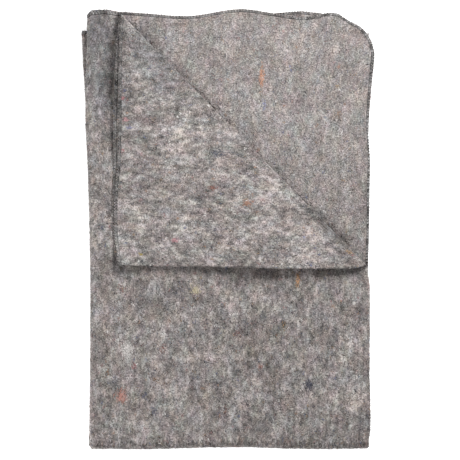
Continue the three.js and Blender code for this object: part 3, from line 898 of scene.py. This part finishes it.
def cloth_piece(cloth, material):
    """The sheet of felt, which carries the places of the cut cloth for its material."""
    piece = mesh_piece("blanket_cloth", cloth.points, cloth.triangles, material)
    places = np.column_stack([cloth.u, cloth.v, cloth.side])
    piece.data.attributes.new("cloth", "FLOAT_VECTOR", "POINT").data.foreach_set("vector", places.ravel())
    piece.data.attributes.new("mottle", "FLOAT", "POINT").data.foreach_set("value", cloth.mottle)
    # Point colours with painted shade along the diagonal fold and shadow under the turned corner's tips
    add_colours(piece, "shade_and_tone", shade_and_tone_colours(cloth.points))
    return piece


def hem_places(pitch):
    """Places along the edge of the cut cloth a pitch apart, and the way inward at each."""
    straights = (CUT_WIDTH - 2 * CORNER_RADIUS, CUT_LENGTH - 2 * CORNER_RADIUS) * 2
    arc = CORNER_RADIUS * np.pi / 2
    total = sum(straights) + 4 * arc
    count = round(total / pitch)
    distance = np.arange(count) * total / count
    place_at = np.empty((count, 2))
    inward = np.empty((count, 2))
    start = np.array([CORNER_RADIUS, 0.0])
    begun = 0.0
    for turn, straight in enumerate(straights):
        heading = np.array([math.cos(turn * np.pi / 2), math.sin(turn * np.pi / 2)])
        left = np.array([-heading[1], heading[0]])
        run = distance - begun
        on_line = (run >= 0) & (run < straight)
        place_at[on_line] = start + run[on_line, None] * heading
        inward[on_line] = left
        centre = start + straight * heading + CORNER_RADIUS * left
        on_arc = (run >= straight) & (run < straight + arc)
        angle = (run[on_arc, None] - straight) / CORNER_RADIUS
        inward[on_arc] = np.cos(angle) * left - np.sin(angle) * heading
        place_at[on_arc] = centre - CORNER_RADIUS * inward[on_arc]
        start = centre + CORNER_RADIUS * heading
        begun += straight + arc
    return place_at, inward


def thread_line(kind, steps, side):
    """The middle of a thread that runs round the hem in these steps, points above it, and its shades."""
    place_at, inward = hem_places(STITCH_PITCH)
    forward = np.column_stack([inward[:, 1], -inward[:, 0]])
    across, _ = stations(*place_at.T)
    width, light = (np.interp(across, STITCHING["across"], STITCHING[name]) for name in ("width", kind))
    inward = width[:, None] * inward
    u_v = [place_at + row["ahead"] * STITCH_PITCH * forward + row["depth"] * inward for row in steps]
    u, v = np.stack(u_v, 1).reshape(-1, 2).T
    share = np.tile([row["height"] for row in steps], len(place_at))
    wear = light * np.random.default_rng(THREAD_SEED).uniform(*THREAD_SHADES, len(place_at))
    shade = np.outer(wear, [row["shade"] for row in steps]).ravel()
    lift = share * face_lift(u, v, np.full_like(u, side), THREAD_RADIUS)
    return place(*stations(u, v), lift), place(*stations(u, v), lift + side * THREAD_RADIUS), shade


def closed_tube(centres, above, radius, sides):
    """A tube round a closed line. above is a point over each of its centres."""
    ahead = np.roll(centres, -1, 0) - np.roll(centres, 1, 0)
    ahead /= np.linalg.norm(ahead, axis=1)[:, None]
    up = above - centres
    across = np.cross(ahead, up)
    across /= np.linalg.norm(across, axis=1)[:, None]
    up = np.cross(across, ahead)
    turns = np.arange(sides) * 2 * np.pi / sides
    ring = np.cos(turns)[None, :, None] * across[:, None] + np.sin(turns)[None, :, None] * up[:, None]
    points = (centres[:, None] + radius * ring).reshape(-1, 3)
    number = np.arange(len(points)).reshape(-1, sides)
    next_ring = np.roll(number, -1, 0)
    return points, quads(number, next_ring, np.roll(next_ring, -1, 1), np.roll(number, -1, 1))


def joined(parts):
    """Several (points, faces) as one."""
    points = np.concatenate([part[0] for part in parts])
    starts = np.cumsum([0] + [len(part[0]) for part in parts[:-1]])
    return points, np.concatenate([part[1] + start for part, start in zip(parts, starts)])


def thread_piece(cloth, material):
    """The overlock thread round the whole hem."""
    tubes = []
    shades = []
    for side in (1.0, -1.0):
        for kind, steps in (("looper", LOOPER_STEPS), ("needle", NEEDLE_STEPS)):
            centres, above, shade = thread_line(kind, steps, side)
            tubes.append(closed_tube(centres, above, THREAD_RADIUS, THREAD_SIDES))
            shades.append(shade.repeat(THREAD_SIDES))
    points, faces = joined(tubes)
    piece = mesh_piece("overlock_thread", on_floor(points + cloth.shift), faces, material)
    add_colours(piece, "thread", np.concatenate(shades)[:, None] * np.ones(3))
    return piece


def fibre_mesh(u, v, side, rng, spread=FIBRE_SPREAD):
    """Fibres that lie on the cloth with their ends in it: points, faces, and how many points each has."""
    count = len(u)
    angle = rng.normal(0, spread, count)
    half = rng.uniform(*FIBRE_LENGTH, count) / 2
    radius = rng.uniform(*FIBRE_RADIUS, count)
    rise = rng.uniform(*FIBRE_RISE, count)
    bow = rng.normal(0, FIBRE_BOW, count)
    way, out, over = FIBRE_POINTS.values()
    middle = np.abs(way) < 1
    length_way = half[:, None] * way
    width_way = radius[:, None] * out + bow[:, None] * (1 - way**2)
    height = np.where(middle, rise[:, None] + radius[:, None] * over, -FIBRE_SINK)
    point_u = u[:, None] + length_way * np.sin(angle)[:, None] + width_way * np.cos(angle)[:, None]
    point_v = v[:, None] + length_way * np.cos(angle)[:, None] - width_way * np.sin(angle)[:, None]
    point_side = np.repeat(side, len(way))
    points = on_face(point_u.ravel(), point_v.ravel(), point_side, height.ravel())
    faces = (np.arange(count)[:, None, None] * len(way) + FIBRE_FACES).reshape(-1, 3)
    inside_out = np.repeat(side < 0, len(FIBRE_FACES))
    faces[inside_out] = faces[inside_out, ::-1]
    return points, faces, len(way)


def fibre_piece(name, cloth, spots, colours, material, rng, spread=FIBRE_SPREAD):
    """Fibres at the given places of the cloth, with a colour for each."""
    points, faces, points_each = fibre_mesh(*spots, rng, spread)
    piece = mesh_piece(name, on_floor(points + cloth.shift), faces, material)
    add_colours(piece, "fibre", colours.repeat(points_each, 0))
    return piece


def wool_colours(count, rng):
    """Colours of loose wool fibres."""
    shares = np.array([row["share"] for row in WOOL_COLOURS])
    colours = np.array([row["colour"] for row in WOOL_COLOURS])
    picked = colours[rng.choice(len(colours), count, p=shares / shares.sum())]
    return picked * rng.uniform(*WOOL_SHADES, (count, 1))


def pile_pieces(cloth, material):
    """Short loose fibres all over what shows of the cloth, from above and from the sides."""
    rng = np.random.default_rng(PILE_SEED)
    spots = []
    for row in PILE_RAYS:
        origins = rng.uniform(cloth.points.min(0), cloth.points.max(0), (row["rays"], 3))
        origins[:, row["axis"]] = -row["way"] * RAY_DISTANCE
        spots.append(cloth.seen_from(origins, row["way"] * np.eye(3)[row["axis"]]))
    spots = [np.concatenate(column) for column in zip(*spots)]
    colours = wool_colours(len(spots[0]), rng)
    pieces = []
    for number in range(PILE_PIECES):
        own = [column[number::PILE_PIECES] for column in spots]
        name = f"wool_pile_{number + 1}"
        pieces.append(fibre_piece(name, cloth, own, colours[number::PILE_PIECES], material, rng))
    return pieces


def small_flecks(rng):
    """Rows for small tufts, like those of FLECKS."""
    places = rng.uniform(*SMALL_FLECK_AREA, (SMALL_FLECKS, 2))
    size = dict(width=SMALL_FLECK_SIZE, length=SMALL_FLECK_SIZE, fibres=SMALL_FLECK_FIBRES)
    return [dict(x=x, y=y, colour=rng.choice(SMALL_FLECK_COLOURS), **size) for x, y in places]


def fleck_piece(cloth, material):
    """The coloured tufts."""
    rng = np.random.default_rng(FLECK_SEED)
    origins = []
    colours = []
    for row in (*FLECKS, *small_flecks(rng)):
        size = (row["width"], row["length"])
        spread = rng.normal(0, FLECK_DEVIATION, (row["fibres"], 2)) * size
        height = np.full((row["fibres"], 1), RAY_DISTANCE)
        origins.append(np.hstack([spread + (row["x"], row["y"]), height]))
        colours.append(np.tile(row["colour"], (row["fibres"], 1)))
    spots = cloth.seen_from(np.concatenate(origins), (0, 0, -1))
    colours = np.concatenate(colours)
    colours = colours * rng.uniform(*FLECK_SHADES, (len(colours), 1))
    return fibre_piece("wool_flecks", cloth, spots, colours, material, rng, FLECK_SPREAD)


class Nodes:
    """A material with its finish, and short ways to add nodes to it."""

    def __init__(self, name, finish):
        self.material = bpy.data.materials.new(name)
        self.material.use_nodes = True
        self.tree = self.material.node_tree
        self.shader = self.tree.nodes["Principled BSDF"]
        for socket, value in finish.items():
            self.shader.inputs[socket].default_value = value

    def add(self, kind, settings=None, **inputs):
        """A node with its settings and inputs, each a value or another node's socket."""
        node = self.tree.nodes.new(kind)
        for name, value in (settings or {}).items():
            setattr(node, name, value)
        for name, value in inputs.items():
            self.join(node.inputs[name.replace("_", " ")], value)
        return node

    def join(self, socket, value):
        if isinstance(value, bpy.types.NodeSocket):
            self.tree.links.new(value, socket)
        else:
            socket.default_value = value

    def math(self, operation, *values):
        node = self.add("ShaderNodeMath", {"operation": operation})
        for socket, value in zip(node.inputs, values):
            self.join(socket, value)
        return node.outputs["Value"]

    def ramp(self, factor, *stops):
        """A colour ramp. Each stop is its place and its colour."""
        node = self.add("ShaderNodeValToRGB", Fac=factor)
        elements = node.color_ramp.elements
        while len(elements) < len(stops):
            elements.new(1.0)
        for element, (place_at, colour) in zip(elements, stops):
            element.position = place_at
            element.color = (*colour, 1)
        return node.outputs["Color"]

    def noise(self, place_at, scale, detail, roughness):
        inputs = dict(Vector=place_at, Scale=scale, Detail=detail, Roughness=roughness)
        return self.add("ShaderNodeTexNoise", **inputs).outputs["Fac"]

    def attribute(self, name, output):
        return self.add("ShaderNodeAttribute", {"attribute_name": name}).outputs[output]

    def point_colour(self, name):
        return self.add("ShaderNodeVertexColor", {"layer_name": name}).outputs["Color"]

    def multiplied(self, first, second):
        """Two colours, one multiplied by the other."""
        settings = {"data_type": "RGBA", "blend_type": "MULTIPLY"}
        return self.add("ShaderNodeMix", settings, Factor=1.0, A=first, B=second).outputs["Result"]


def tint(nodes, place_at, row):
    """How strong one colour is, from a noise far away from the greys' own."""
    far = nodes.add("ShaderNodeMapping", Vector=place_at, Location=(row["away"],) * 3).outputs["Vector"]
    return nodes.math("MULTIPLY_ADD", nodes.noise(far, **TINT_NOISE), row["span"], row["least"])


def felt_material():
    """Felted wool of mixed greys, streaked along the cloth, with faint warm and cool tints."""
    nodes = Nodes("felted_wool", FELT_FINISH)
    cloth = nodes.attribute("cloth", "Vector")
    mottle = nodes.attribute("mottle", "Fac")
    streaked = nodes.add("ShaderNodeMapping", Vector=cloth, Scale=(1, STREAK, 1)).outputs["Vector"]
    blotch = nodes.math("MULTIPLY", nodes.noise(streaked, **BLOTCH_NOISE), BLOTCH_WEIGHT)
    clump = nodes.math("MULTIPLY", nodes.noise(streaked, **CLUMP_NOISE), CLUMP_WEIGHT)
    coarse = nodes.math("SUBTRACT", nodes.math("ADD", blotch, clump), COARSE_MIDDLE)
    speck = nodes.math("MULTIPLY_ADD", nodes.noise(cloth, **SPECK_NOISE), SPECK_WEIGHT, SPECK_BASE)
    tone = nodes.math("MULTIPLY_ADD", coarse, mottle, speck)
    grey = nodes.ramp(tone, *FELT_GREYS)
    red = tint(nodes, streaked, RED_TINT)
    blue = tint(nodes, streaked, BLUE_TINT)
    tints = nodes.add("ShaderNodeCombineColor", Red=red, Green=1.0, Blue=blue).outputs["Color"]
    # The point colours add darker and lighter places, and painted shade and shadow
    colour = nodes.multiplied(nodes.multiplied(grey, tints), nodes.point_colour("shade_and_tone"))
    nodes.join(nodes.shader.inputs["Base Color"], colour)
    bump = nodes.add("ShaderNodeBump", Height=tone, **FELT_BUMP)
    nodes.join(nodes.shader.inputs["Normal"], bump.outputs["Normal"])
    return nodes.material


def fibre_material():
    """Loose wool, with the colour that each fibre carries."""
    nodes = Nodes("loose_wool", FIBRE_FINISH)
    nodes.join(nodes.shader.inputs["Base Color"], nodes.point_colour("fibre"))
    return nodes.material


def thread_material():
    """Grey sewing thread, a little faded here and there."""
    nodes = Nodes("overlock_thread", THREAD_FINISH)
    place_at = nodes.add("ShaderNodeTexCoord").outputs["Object"]
    faded = nodes.ramp(nodes.noise(place_at, **THREAD_NOISE), *THREAD_FADING)
    colour = nodes.multiplied(nodes.point_colour("thread"), faded)
    nodes.join(nodes.shader.inputs["Base Color"], colour)
    return nodes.material


def floor_material():
    """White floor, lit from below as on a light table."""
    return Nodes("white_floor", FLOOR_FINISH).material


def floor():
    """The plain floor that the blanket lies on."""
    half = FLOOR_SIZE / 2
    mesh = bpy.data.meshes.new("floor")
    corners = [(-half, -half, 0), (half, -half, 0), (half, half, 0), (-half, half, 0)]
    mesh.from_pydata(corners, [], [(0, 1, 2, 3)])
    mesh.materials.append(floor_material())
    ground = in_scene("floor", mesh)
    ground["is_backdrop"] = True


def lights():
    """A soft key light from the upper right, a broad fill and an even sky."""
    for row in LIGHTS:
        lamp = bpy.data.lights.new(row["name"], "AREA")
        lamp.size = row["size"]
        lamp.energy = row["power"]
        lamp_object = in_scene(row["name"], lamp)
        lamp_object.location = row["place"]
        lamp_object.rotation_euler = (-Vector(row["place"])).to_track_quat("-Z", "Y").to_euler()
    world = bpy.data.worlds.new("studio")
    world.use_nodes = True
    sky = world.node_tree.nodes["Background"]
    sky.inputs["Color"].default_value = WHITE
    sky.inputs["Strength"].default_value = WORLD_STRENGTH
    bpy.context.scene.world = world
    bpy.context.scene.view_settings.view_transform = "Standard"


def camera(top):
    """A camera straight above the blanket."""
    lens = bpy.data.cameras.new("camera")
    lens.sensor_width = SENSOR_WIDTH
    lens.lens = SENSOR_WIDTH * (CAMERA_HEIGHT - top) / VIEW_WIDTH
    lens.clip_end = 2 * CAMERA_HEIGHT
    eye = in_scene("camera", lens)
    eye.location = (CAMERA_X, CAMERA_Y, CAMERA_HEIGHT)
    bpy.context.scene.camera = eye


def main():
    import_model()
    cad_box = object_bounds()
    cloth = Cloth()
    felt = felt_material()
    wool = fibre_material()
    blanket = cloth_piece(cloth, felt)
    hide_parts("blanket")
    thread = thread_piece(cloth, thread_material())
    loose = [*pile_pieces(cloth, wool), fleck_piece(cloth, wool)]
    floor()
    lights()
    camera(cad_box[1][2])


main()
